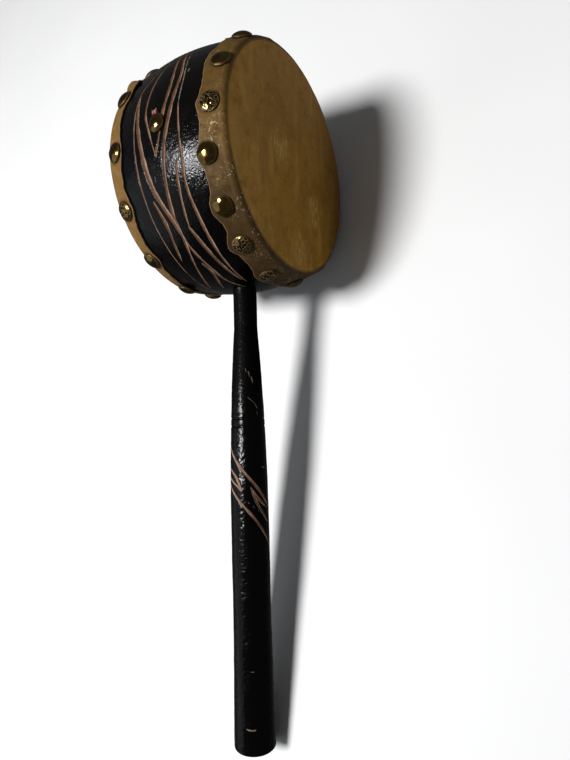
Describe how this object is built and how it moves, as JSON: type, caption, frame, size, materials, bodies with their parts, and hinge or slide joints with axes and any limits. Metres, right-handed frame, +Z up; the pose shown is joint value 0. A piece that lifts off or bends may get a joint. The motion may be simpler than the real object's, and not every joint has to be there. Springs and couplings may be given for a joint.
{
  "type": "temple hand drum",
  "caption": "Barrel-shaped two-headed hand drum with a gouged black lacquered shell, rawhide heads held by domed brass tacks, and a long turned handle.",
  "frame": {"origin": "middle of the footprint, on the surface that the drum lies on", "axes": "+Z up, +Y from the butt of the handle towards the drum, +X along the drum's own axis towards its right head"},
  "size_m": [0.0926, 0.4672, 0.166],
  "materials": {
    "black_lacquer": "worn black lacquer on turned wood, gouged strokes showing pale pinkish wood",
    "rawhide": "scraped rawhide, ochre and mottled, nailed wet and dried taut",
    "brass": "tarnished brass, polished by handling on the crowns",
    "red_cord": "faded red twisted thread, frayed"
  },
  "bodies": {
    "root": {"shell": "black_lacquer", "handle": "black_lacquer", "head_right": "rawhide", "head_left": "rawhide", "tack_right_01": "brass", "tack_right_02": "brass", "tack_right_03": "brass", "tack_right_04": "brass", "tack_right_05": "brass", "tack_right_06": "brass", "tack_right_07": "brass", "tack_right_08": "brass", "tack_right_09": "brass", "tack_right_10": "brass", "tack_right_11": "brass", "tack_right_12": "brass", "tack_right_13": "brass", "tack_right_14": "brass", "tack_right_15": "brass", "tack_left_01": "brass", "tack_left_02": "brass", "tack_left_03": "brass", "tack_left_04": "brass", "tack_left_05": "brass", "tack_left_06": "brass", "tack_left_07": "brass", "tack_left_08": "brass", "tack_left_09": "brass", "tack_left_10": "brass", "tack_left_11": "brass", "tack_left_12": "brass", "tack_left_13": "brass", "tack_left_14": "brass", "cord_tack": "brass", "cord_stub": "red_cord"}
  },
  "joints": []
}
